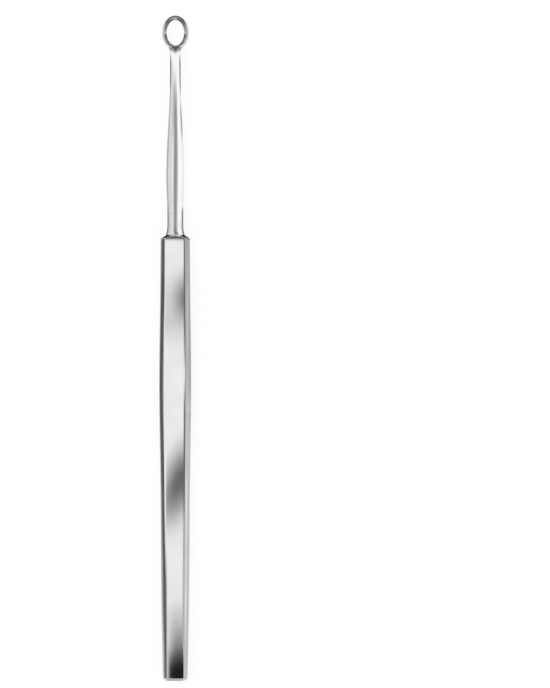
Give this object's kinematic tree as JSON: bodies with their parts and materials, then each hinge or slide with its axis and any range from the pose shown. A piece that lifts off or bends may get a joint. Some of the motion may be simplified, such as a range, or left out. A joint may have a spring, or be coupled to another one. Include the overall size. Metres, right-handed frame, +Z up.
{
  "type": "dermal curette",
  "caption": "Slim dermal curette in steel with an open oval cutting ring, a round tapered shaft and a flat bevelled handle.",
  "frame": {"origin": "on the surface that the curette lies on, under the middle of its length and on its centre line", "axes": "+Y along the instrument towards the ring, +Z up out of the front facet of the handle, the side of the ring's cutting edge, +X across the handle"},
  "size_m": [0.007, 0.145, 0.005],
  "materials": {
    "steel": "satin handle, polished shaft and ring, bare stainless steel"
  },
  "bodies": {
    "root": {"curette": "steel"}
  },
  "joints": []
}
